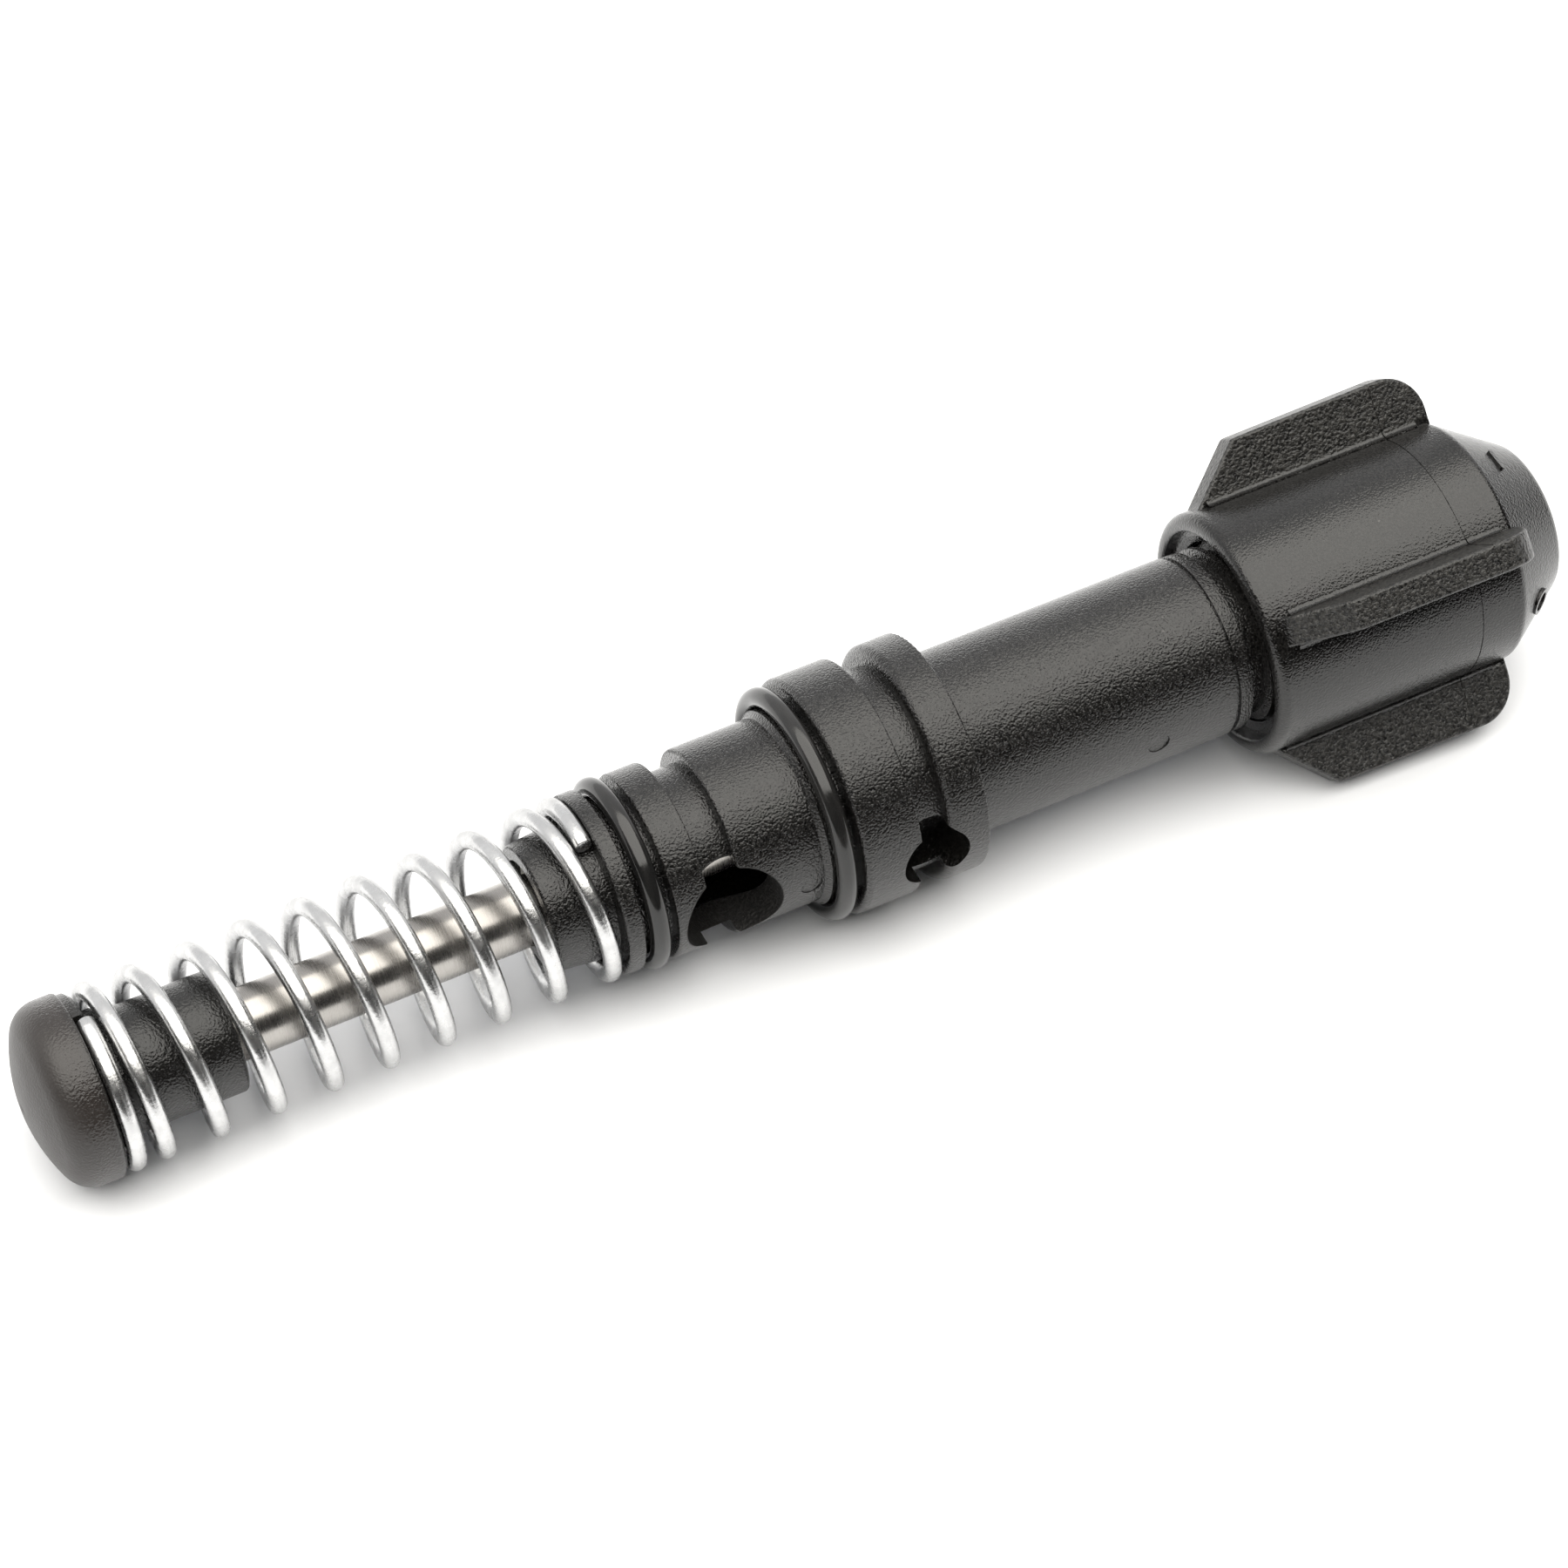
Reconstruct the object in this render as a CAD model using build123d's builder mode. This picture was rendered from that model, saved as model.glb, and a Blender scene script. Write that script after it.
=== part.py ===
"""Spring-returned spray valve cartridge with a twist nozzle, in millimetres.

The axis of everything turned is X. The push button is at -X and the nozzle at +X. The origin is on
the axis, in the middle of the locating collar. The inlet port and the locating hole face -Y, and the
four nozzle vanes stand at 45 degrees. Lying down, the part rests on the collar, the rim of the button
and a vane.
"""
import os
from math import atan2, cos, degrees, pi, radians, sin, sqrt, tan

from build123d import *

# ---------------------------------------------------------------- driving dimensions
# stem and its button
ROD_R = 3.0
ROD_REAR_X = -67.5
ROD_SHOULDER_X = 45.9
ROD_TAIL_R = 2.0
ROD_TAIL_END_X = 54.9
BUTTON_TRAVEL = 7.0
DOME_R = 8.1
DOME_APEX_X = -74.55
DOME_CROWN_R = 15.2
DOME_CORNER_R = 2.9
BUTTON_SHOULDER_X = -68.75
BUTTON_SLEEVE_R = 5.3
BUTTON_SLEEVE_END_X = -56.7
SPRING_PILOT_R = 5.85
SPRING_PILOT_LENGTH = 2.2
SPRING_PILOT_TAPER = 0.6
BUTTON_EDGE_ROUND = 0.35
RAMP_INNER_R = 5.0
RAMP_OUTER_R = 7.8
RAMP_PITCH = 1.05
RAMP_TURNS = 0.994
RAMP_SINK = 0.05
RAMP_DEPTH = 1.5
RAMP_BEVEL = 0.35
RAMP_START_ANGLE = 82.5
ROD_END_GAP = 0.5
INSERT_R = 4.2
INSERT_LENGTH = 7.8

# return spring
WIRE_R = 0.8
COIL_R = 7.3
FRONT_COIL_R = 7.45
FLARE_START_TURNS = 3.0
FLARE_END_TURNS = 1.0
SPRING_TURNS = 10.045
REAR_PITCH = 1.2
REAR_OPENING_TURNS = 2.1
FRONT_PITCH = 0.1
FRONT_CLOSED_TURNS = 0.5
FRONT_OPENING_TURNS = 0.35
SPRING_START_ANGLE = 84.0
STEPS_PER_TURN = 16

# barrel stations along X, rear to front
SPIGOT_REAR_X = -29.1
SPRING_SEAT_X = -23.6
REAR_GROOVE_X = -22.05
REAR_FLANGE_X = -19.1
NECK_X = -16.05
BODY_X = -13.05
SEAL_STEP_X = -5.5
SEAL_STEP_RISE = 0.5
COLLAR_REAR_X = -2.7
COLLAR_FRONT_X = 2.7
CLIP_FLANGE_X = 5.35
TUBE_X = 9.1
RELIEF_X = 34.6
RELIEF_WIDTH = 0.5
THREAD_X = 36.3
THREAD_END_X = 42.2
BARREL_FRONT_X = 49.3

# barrel radii
SPIGOT_REAR_R = 5.7
SPIGOT_FRONT_R = 6.3
SPRING_FLANGE_R = 8.13
REAR_GROOVE_R = 6.9
REAR_FLANGE_R = 8.33
NECK_R = 7.1
BODY_R = 8.34
SEAL_STEP_R = 8.84
COLLAR_R = 10.76
CLIP_GROOVE_R = 9.06
TUBE_R = 8.27
RELIEF_R = 7.95
TUBE_LIP_R = 8.2
THREAD_CORE_R = 7.35

# rounds on the barrel's edges
SPIGOT_ROUND = 0.3
GROOVE_EDGE_ROUND = 0.15
BODY_ROUND = 0.35
COLLAR_LEAD_IN = 0.6
CLIP_FLANGE_LEAD_IN = 0.9
COLLAR_EDGE_ROUND = 0.2
TUBE_ROOT_ROUND = 0.2

# barrel bores
GLAND_R = 4.45
GLAND_END_X = -22.0
LAND_R = 3.2
CHAMBER_X = -20.3
CHAMBER_R = 5.4
GUIDE_X = 33.3
GUIDE_LENGTH = 4.0
FRONT_BORE_R = 6.0
SEAT_DEPTH = 1.1
SEAT_RISE = 0.9
INLET_X = -13.9
INLET_R = 4.5
LOCATING_HOLE_X = 4.0
LOCATING_HOLE_R = 3.1
LOCATING_HOLE_FLOOR = 6.2
WITNESS_R = 1.05
WITNESS_DEPTH = 0.12
WITNESS_X = (-6.75, 26.9)

# coarse adjusting thread, right-handed
THREAD_LEAD = 2.0
RIDGE_HEIGHT = 0.8
RIDGE_ROOT = 1.0
RIDGE_CREST = 0.5
RIDGE_SINK = 0.15
RIDGE_END_GAP = 0.6

# seals: ring radius to the middle of the section, section radius, place along X
REAR_O_RING = (7.78, 0.88, -20.6)
COLLAR_O_RING = (9.72, 0.88, -4.05)
ROD_SEAL = (3.73, 0.69, -22.75)
NOZZLE_O_RING = (8.13, 0.75, 47.0)
POPPET_O_RING = (5.86, 0.80, 49.24)

# pieces inside the barrel
BUSH_REAR_X = -27.9
BUSH_LENGTH = 3.6
BUSH_SLOT = 0.8
RUNNING_GAP = 0.05
WASHER_THICKNESS = 0.7
CLIP_THICKNESS = 0.8
CLIP_R = 4.4
CLIP_GROOVE_DEPTH = 0.5
CLIP_OPENING = 4.0
GUIDE_HUB_R = 4.2
GUIDE_RIM = 0.7
GUIDE_RIB = 1.2
GUIDE_RIBS = 3

# poppet stack on the stem's tail
POPPET_HUB_R = 3.6
POPPET_LIP_X = 47.5
POPPET_LIP_R = 5.4
POPPET_GROOVE_X = 48.38
POPPET_GROOVE_R = 5.05
POPPET_FLANGE_X = 50.1
POPPET_FLANGE_R = 6.6
POPPET_FRONT_X = 51.7
POPPET_ROUND = 0.5
LOCK_WASHER_THICKNESS = 0.8
LOCK_WASHER_R = 3.9
NUT_FLATS = 7.0
NUT_LENGTH = 2.0
NUT_NOSE_R = 3.3
NUT_TIP_R = 0.8

# twist nozzle
NOZZLE_REAR_X = 37.4
MOUTH_R = 9.7
MOUTH_STEP_R = 9.1
MOUTH_DEPTH = 0.9
MOUTH_ROUND = 0.35
NOZZLE_R = 11.25
NOZZLE_BORE_X = 38.6
NOZZLE_BORE_R = 8.45
NOZZLE_LAND_X = 45.0
NOZZLE_LAND_R = 7.6
NOZZLE_GLAND_R = 8.9
NOZZLE_GLAND_X = 46.15
NOZZLE_GLAND_END_X = 47.85
INNER_CONE_X = 60.4
ORIFICE_R = 2.6
OUTLET_R = 3.6
OUTLET_DEPTH = 1.0
CONE_X = 62.0
CONE_HALF_ANGLE = 34.0
NOZZLE_FRONT_X = 68.7
NOSE_ROUND = 1.5
NOZZLE_EDGE_ROUND = 1.0
PARTING_X = 57.65
PARTING_WIDTH = 0.12
PARTING_DEPTH = 0.06
PARTING_MARGIN = 0.3

# nozzle vanes
VANES = 4
FIRST_VANE_ANGLE = 45
VANE_THICKNESS = 2.7
VANE_REAR_X = 37.9
VANE_TIP_X = 43.9
VANE_FRONT_X = 62.5
VANE_TIP_REAR_R = 16.05
VANE_TIP_FRONT_R = 16.3
VANE_CORNER_R = 3.8
VANE_REAR_ROUND = 0.8
VANE_ROOT_ROUND = 0.6
VANE_EDGE_ROUND = 0.3
VANE_ROOT_X = 39.8
VANE_SINK = 1.0

# raised marks on the cone, between the vanes
MARK_X = 64.9
MARK_HEIGHT = 0.18
MARK_SINK = 0.3
MARK_RING_R = 1.25
MARK_LINE = 0.35
MARK_BAR_LENGTH = 2.4
MARK_BAR_WIDTH = 0.5


# ---------------------------------------------------------------- helpers
def turned(outline, rounds=(), mode=Mode.ADD):
    """Revolve an outline of (x, radius) points about X; rounds are (corner, radius) pairs."""
    with BuildSketch(Plane.XY) as profile:
        with BuildLine():
            Polyline(*outline, close=True)
        make_face()
        for corner, radius in rounds:
            fillet(profile.vertices().sort_by_distance((*corner, 0))[0], radius)
    revolve(profile.sketch, axis=Axis.X, mode=mode)


def ring(inner, outer, start, end):
    """A plain turned ring between two radii and two stations."""
    turned([(start, inner), (start, outer), (end, outer), (end, inner)])


def o_ring(major, minor, x):
    """A seal ring around X."""
    with Locations((x, 0, 0)):
        Torus(major, minor, rotation=(0, 90, 0))


def helical_ridge(root_r, crest_r, start, end, turn):
    """A thread ridge on a cylindrical wall, along the helix that passes x = 0 at the angle turn."""
    outwards = 1 if crest_r > root_r else -1
    helix = Helix(THREAD_LEAD, end - start, root_r, center=(start, 0, 0), direction=(1, 0, 0))
    path = helix.rotate(Axis.X, turn + 360 * start / THREAD_LEAD)
    foot = path @ 0
    radial = Vector(0, foot.Y, foot.Z).normalized()
    with BuildSketch(Plane(origin=foot, x_dir=radial, z_dir=path % 0)) as section:
        with BuildLine():
            Polyline(
                (-outwards * RIDGE_SINK, -RIDGE_ROOT / 2),
                (-outwards * RIDGE_SINK, RIDGE_ROOT / 2),
                (outwards * RIDGE_HEIGHT, RIDGE_CREST / 2),
                (outwards * RIDGE_HEIGHT, -RIDGE_CREST / 2),
                close=True,
            )
        make_face()
    sweep(section.sketch, path=path, is_frenet=True)


def spring_ramp():
    """The helical seat under the spring's first turn, with a step where the wire starts."""
    half_width = (RAMP_OUTER_R - RAMP_INNER_R) / 2
    helix = Helix(
        RAMP_PITCH,
        RAMP_PITCH * RAMP_TURNS,
        RAMP_OUTER_R - half_width,
        center=(BUTTON_SHOULDER_X - RAMP_SINK, 0, 0),
        direction=(1, 0, 0),
    )
    path = helix.rotate(Axis.X, RAMP_START_ANGLE - degrees(atan2((helix @ 0).Z, (helix @ 0).Y)))
    foot = path @ 0
    radial = Vector(0, foot.Y, foot.Z).normalized()
    with BuildSketch(Plane(origin=foot, x_dir=radial, z_dir=path % 0)) as section:
        with BuildLine():
            Polyline(
                (-half_width, 0),
                (half_width - RAMP_BEVEL, 0),
                (half_width, RAMP_BEVEL),
                (half_width, RAMP_DEPTH),
                (-half_width, RAMP_DEPTH),
                close=True,
            )
        make_face()
    sweep(section.sketch, path=path, is_frenet=True)


def eased(share):
    """A smooth step from 0 to 1."""
    share = min(max(share, 0), 1)
    return share * share * (3 - 2 * share)


def pitch_parts(turn, turns):
    """The share of the active pitch at a turn, and the pitch laid there by the flatter end turns."""
    rear = eased(turn / REAR_OPENING_TURNS)
    front = eased((turns - turn - FRONT_CLOSED_TURNS) / FRONT_OPENING_TURNS)
    return rear * front, REAR_PITCH * (1 - rear) + FRONT_PITCH * (1 - front)


def coil_path(start, end, turns):
    """Points on the centre line of a coil spring along X whose end turns are closed."""
    steps = round(turns * STEPS_PER_TURN)
    parts = [pitch_parts(turns * (step + 0.5) / steps, turns) for step in range(steps)]
    end_pitches = sum(end_pitch for _, end_pitch in parts)
    active_shares = sum(share for share, _ in parts)
    active_pitch = ((end - start) * steps / turns - end_pitches) / active_shares
    points = []
    x = start
    for step in range(steps + 1):
        turn = turns * step / steps
        angle = radians(SPRING_START_ANGLE) + 2 * pi * turn
        flare = eased((turn - turns + FLARE_START_TURNS) / (FLARE_START_TURNS - FLARE_END_TURNS))
        radius = COIL_R + (FRONT_COIL_R - COIL_R) * flare
        points.append((x, radius * cos(angle), radius * sin(angle)))
        if step < steps:
            share, end_pitch = parts[step]
            x += (active_pitch * share + end_pitch) * turns / steps
    return points


def finish(part, name):
    """Label a finished piece and write it."""
    part.label = name
    export_step(part, f"parts/{name}.step")


os.makedirs("parts", exist_ok=True)

# ---------------------------------------------------------------- push button
crown_edge_x = DOME_APEX_X + DOME_CROWN_R - sqrt(DOME_CROWN_R**2 - DOME_R**2)
crown_middle = (
    DOME_APEX_X + DOME_CROWN_R - sqrt(DOME_CROWN_R**2 - (DOME_R / 2) ** 2),
    DOME_R / 2,
)
insert_rear_x = ROD_REAR_X - ROD_END_GAP
insert_end_x = insert_rear_x + INSERT_LENGTH
pilot_end_x = BUTTON_SHOULDER_X + SPRING_PILOT_LENGTH
with BuildPart() as button_cap:
    with BuildSketch(Plane.XY) as button_section:
        with BuildLine():
            ThreePointArc((crown_edge_x, DOME_R), crown_middle, (DOME_APEX_X, 0))
            Polyline(
                (DOME_APEX_X, 0),
                (insert_rear_x, 0),
                (insert_rear_x, INSERT_R),
                (insert_end_x, INSERT_R),
                (insert_end_x, ROD_R + RUNNING_GAP),
                (BUTTON_SLEEVE_END_X, ROD_R + RUNNING_GAP),
                (BUTTON_SLEEVE_END_X, BUTTON_SLEEVE_R),
                (pilot_end_x + SPRING_PILOT_TAPER, BUTTON_SLEEVE_R),
                (pilot_end_x, SPRING_PILOT_R),
                (BUTTON_SHOULDER_X, SPRING_PILOT_R),
                (BUTTON_SHOULDER_X, DOME_R),
                (crown_edge_x, DOME_R),
            )
        make_face()
        for corner, radius in (
            ((crown_edge_x, DOME_R), DOME_CORNER_R),
            ((BUTTON_SHOULDER_X, DOME_R), BUTTON_EDGE_ROUND),
            ((BUTTON_SLEEVE_END_X, BUTTON_SLEEVE_R), BUTTON_EDGE_ROUND),
        ):
            fillet(button_section.vertices().sort_by_distance((*corner, 0))[0], radius)
    revolve(axis=Axis.X)
    spring_ramp()
finish(button_cap.part, "button_cap")

with BuildPart() as button_insert:
    ring(ROD_R, INSERT_R, insert_rear_x, insert_end_x)
finish(button_insert.part, "button_insert")

# ---------------------------------------------------------------- return spring
with BuildPart() as return_spring:
    with BuildLine():
        wire_path = Spline(
            *coil_path(BUTTON_SHOULDER_X + WIRE_R, SPRING_SEAT_X - WIRE_R, SPRING_TURNS)
        )
    with BuildSketch(Plane(origin=wire_path @ 0, z_dir=wire_path % 0)):
        Circle(WIRE_R)
    sweep(is_frenet=True)
finish(return_spring.part, "return_spring")

# ---------------------------------------------------------------- stem
clip_front_x = GUIDE_X - BUTTON_TRAVEL - RUNNING_GAP
with BuildPart() as stem_rod:
    turned(
        [
            (ROD_REAR_X, 0),
            (ROD_REAR_X, ROD_R),
            (clip_front_x - CLIP_THICKNESS, ROD_R),
            (clip_front_x - CLIP_THICKNESS, ROD_R - CLIP_GROOVE_DEPTH),
            (clip_front_x, ROD_R - CLIP_GROOVE_DEPTH),
            (clip_front_x, ROD_R),
            (ROD_SHOULDER_X, ROD_R),
            (ROD_SHOULDER_X, ROD_TAIL_R),
            (ROD_TAIL_END_X, ROD_TAIL_R),
            (ROD_TAIL_END_X, 0),
        ]
    )
finish(stem_rod.part, "stem_rod")

with BuildPart() as stop_clip:
    with BuildSketch(Plane.YZ.offset(clip_front_x - CLIP_THICKNESS)):
        Circle(CLIP_R)
        Circle(ROD_R - CLIP_GROOVE_DEPTH, mode=Mode.SUBTRACT)
        with Locations((CLIP_R / 2, 0)):
            Rectangle(CLIP_R, CLIP_OPENING, mode=Mode.SUBTRACT)
    extrude(amount=CLIP_THICKNESS)
finish(stop_clip.part, "stop_clip")

# ---------------------------------------------------------------- barrel
seat_x = BARREL_FRONT_X - SEAT_DEPTH
with BuildPart() as barrel:
    turned(
        [
            (SPIGOT_REAR_X, GLAND_R),
            (SPIGOT_REAR_X, SPIGOT_REAR_R),
            (SPRING_SEAT_X, SPIGOT_FRONT_R),
            (SPRING_SEAT_X, SPRING_FLANGE_R),
            (REAR_GROOVE_X, SPRING_FLANGE_R),
            (REAR_GROOVE_X, REAR_GROOVE_R),
            (REAR_FLANGE_X, REAR_GROOVE_R),
            (REAR_FLANGE_X, REAR_FLANGE_R),
            (NECK_X, REAR_FLANGE_R),
            (NECK_X, NECK_R),
            (BODY_X, NECK_R),
            (BODY_X, BODY_R),
            (SEAL_STEP_X, BODY_R),
            (SEAL_STEP_X + SEAL_STEP_RISE, SEAL_STEP_R),
            (COLLAR_REAR_X, SEAL_STEP_R),
            (COLLAR_REAR_X, COLLAR_R),
            (COLLAR_FRONT_X, COLLAR_R),
            (COLLAR_FRONT_X, CLIP_GROOVE_R),
            (CLIP_FLANGE_X, CLIP_GROOVE_R),
            (CLIP_FLANGE_X, COLLAR_R),
            (TUBE_X, COLLAR_R),
            (TUBE_X, TUBE_R),
            (RELIEF_X, TUBE_R),
            (RELIEF_X, RELIEF_R),
            (RELIEF_X + RELIEF_WIDTH, RELIEF_R),
            (RELIEF_X + RELIEF_WIDTH, TUBE_LIP_R),
            (THREAD_X, TUBE_LIP_R),
            (THREAD_X, THREAD_CORE_R),
            (BARREL_FRONT_X, THREAD_CORE_R),
            (BARREL_FRONT_X, FRONT_BORE_R + SEAT_RISE),
            (seat_x + SEAT_RISE, FRONT_BORE_R + SEAT_RISE),
            (seat_x, FRONT_BORE_R),
            (GUIDE_X, FRONT_BORE_R),
            (GUIDE_X, CHAMBER_R),
            (CHAMBER_X, CHAMBER_R),
            (CHAMBER_X, LAND_R),
            (GLAND_END_X, LAND_R),
            (GLAND_END_X, GLAND_R),
        ],
        rounds=[
            ((SPIGOT_REAR_X, SPIGOT_REAR_R), SPIGOT_ROUND),
            ((SPRING_SEAT_X, SPRING_FLANGE_R), SPIGOT_ROUND),
            ((REAR_GROOVE_X, SPRING_FLANGE_R), GROOVE_EDGE_ROUND),
            ((REAR_FLANGE_X, REAR_FLANGE_R), SPIGOT_ROUND),
            ((NECK_X, REAR_FLANGE_R), GROOVE_EDGE_ROUND),
            ((BODY_X, BODY_R), BODY_ROUND),
            ((COLLAR_REAR_X, COLLAR_R), COLLAR_LEAD_IN),
            ((COLLAR_FRONT_X, COLLAR_R), COLLAR_EDGE_ROUND),
            ((CLIP_FLANGE_X, COLLAR_R), CLIP_FLANGE_LEAD_IN),
            ((TUBE_X, COLLAR_R), COLLAR_EDGE_ROUND),
            ((TUBE_X, TUBE_R), TUBE_ROOT_ROUND),
        ],
    )
    helical_ridge(
        THREAD_CORE_R,
        THREAD_CORE_R + RIDGE_HEIGHT,
        THREAD_X + RIDGE_END_GAP,
        THREAD_END_X,
        0,
    )
    with BuildSketch(Plane.XZ):
        with Locations((INLET_X, 0)):
            Circle(INLET_R)
    extrude(amount=2 * BODY_R, mode=Mode.SUBTRACT)
    with BuildSketch(Plane.XZ.offset(LOCATING_HOLE_FLOOR)):
        with Locations((LOCATING_HOLE_X, 0)):
            Circle(LOCATING_HOLE_R)
    extrude(amount=2 * COLLAR_R, mode=Mode.SUBTRACT)
    for witness_x, surface_r in zip(WITNESS_X, (BODY_R, TUBE_R)):
        with BuildSketch(Plane.XZ.offset(surface_r - WITNESS_DEPTH)):
            with Locations((witness_x, 0)):
                Circle(WITNESS_R)
        extrude(amount=COLLAR_R, mode=Mode.SUBTRACT)
finish(barrel.part, "barrel")

for name, (major, minor, x) in {
    "rear_o_ring": REAR_O_RING,
    "collar_o_ring": COLLAR_O_RING,
    "rod_seal": ROD_SEAL,
    "nozzle_o_ring": NOZZLE_O_RING,
    "poppet_o_ring": POPPET_O_RING,
}.items():
    with BuildPart() as seal:
        o_ring(major, minor, x)
    finish(seal.part, name)

# ---------------------------------------------------------------- rear guide and its washer
with BuildPart() as rear_guide_bush:
    ring(ROD_R + RUNNING_GAP, GLAND_R, BUSH_REAR_X, BUSH_REAR_X + BUSH_LENGTH)
    with BuildSketch(Plane.XY):
        with Locations((BUSH_REAR_X + BUSH_LENGTH / 2, 0)):
            Rectangle(BUSH_LENGTH, BUSH_SLOT)
    extrude(amount=GLAND_R, mode=Mode.SUBTRACT)
finish(rear_guide_bush.part, "rear_guide_bush")

with BuildPart() as seal_washer:
    washer_x = BUSH_REAR_X + BUSH_LENGTH
    ring(ROD_R + 2 * RUNNING_GAP, GLAND_R, washer_x, washer_x + WASHER_THICKNESS)
finish(seal_washer.part, "seal_washer")

# ---------------------------------------------------------------- front guide with open windows
with BuildPart() as front_guide:
    with BuildSketch(Plane.YZ.offset(GUIDE_X)):
        Circle(FRONT_BORE_R)
        Circle(FRONT_BORE_R - GUIDE_RIM, mode=Mode.SUBTRACT)
        with PolarLocations((GUIDE_HUB_R + FRONT_BORE_R - GUIDE_RIM) / 2, GUIDE_RIBS):
            Rectangle(FRONT_BORE_R - GUIDE_HUB_R, GUIDE_RIB)
        Circle(GUIDE_HUB_R)
        Circle(ROD_R + RUNNING_GAP, mode=Mode.SUBTRACT)
    extrude(amount=GUIDE_LENGTH)
finish(front_guide.part, "front_guide")

# ---------------------------------------------------------------- valve poppet, washer and nut
with BuildPart() as valve_poppet:
    turned(
        [
            (ROD_SHOULDER_X, ROD_TAIL_R),
            (ROD_SHOULDER_X, POPPET_HUB_R),
            (POPPET_LIP_X, POPPET_LIP_R),
            (POPPET_GROOVE_X, POPPET_LIP_R),
            (POPPET_GROOVE_X, POPPET_GROOVE_R),
            (POPPET_FLANGE_X, POPPET_GROOVE_R),
            (POPPET_FLANGE_X, POPPET_FLANGE_R),
            (POPPET_FRONT_X, POPPET_FLANGE_R),
            (POPPET_FRONT_X, ROD_TAIL_R),
        ],
        rounds=[((POPPET_FRONT_X, POPPET_FLANGE_R), POPPET_ROUND)],
    )
finish(valve_poppet.part, "valve_poppet")

nut_x = POPPET_FRONT_X + LOCK_WASHER_THICKNESS
with BuildPart() as lock_washer:
    ring(ROD_TAIL_R, LOCK_WASHER_R, POPPET_FRONT_X, nut_x)
finish(lock_washer.part, "lock_washer")

with BuildPart() as nose_nut:
    nose_x = nut_x + NUT_LENGTH
    with BuildSketch(Plane.YZ.offset(nut_x)):
        RegularPolygon(NUT_FLATS / 2, 6, major_radius=False)
    extrude(amount=NUT_LENGTH)
    turned(
        [
            (nose_x, 0),
            (nose_x, NUT_NOSE_R),
            (nose_x + NUT_NOSE_R - NUT_TIP_R, NUT_TIP_R),
            (nose_x + NUT_NOSE_R - NUT_TIP_R, 0),
        ]
    )
    turned(
        [(nut_x, 0), (nut_x, ROD_TAIL_R), (ROD_TAIL_END_X, ROD_TAIL_R), (ROD_TAIL_END_X, 0)],
        mode=Mode.SUBTRACT,
    )
finish(nose_nut.part, "nose_nut")

# ---------------------------------------------------------------- twist nozzle
cone_angle = radians(CONE_HALF_ANGLE)
cone_slope = tan(cone_angle)
nose_edge_r = NOZZLE_R - (NOZZLE_FRONT_X - CONE_X) * cone_slope
vane_root_r = NOZZLE_R - VANE_SINK
vane_tip_slope = (VANE_TIP_FRONT_R - VANE_TIP_REAR_R) / (VANE_FRONT_X - VANE_TIP_X)
parting_tip_r = VANE_TIP_REAR_R + (PARTING_X - VANE_TIP_X) * vane_tip_slope
mark_r = NOZZLE_R - (MARK_X - CONE_X) * cone_slope
with BuildPart() as vane:
    with BuildSketch(Plane.XY) as vane_side:
        with BuildLine():
            Polyline(
                (VANE_REAR_X, vane_root_r),
                (VANE_TIP_X, VANE_TIP_REAR_R),
                (VANE_FRONT_X, VANE_TIP_FRONT_R),
                (VANE_FRONT_X, vane_root_r),
                close=True,
            )
        make_face()
        for corner, radius in (
            ((VANE_FRONT_X, VANE_TIP_FRONT_R), VANE_CORNER_R),
            ((VANE_TIP_X, VANE_TIP_REAR_R), VANE_REAR_ROUND),
        ):
            fillet(vane_side.vertices().sort_by_distance((*corner, 0))[0], radius)
    extrude(amount=VANE_THICKNESS / 2, both=True)
    vane_sides = vane.faces().filter_by(Axis.Z)
    outline_edges = [edge for edge in vane_sides.edges() if edge.center().Y > vane_root_r + VANE_EDGE_ROUND]
    fillet(outline_edges, VANE_EDGE_ROUND)

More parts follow.
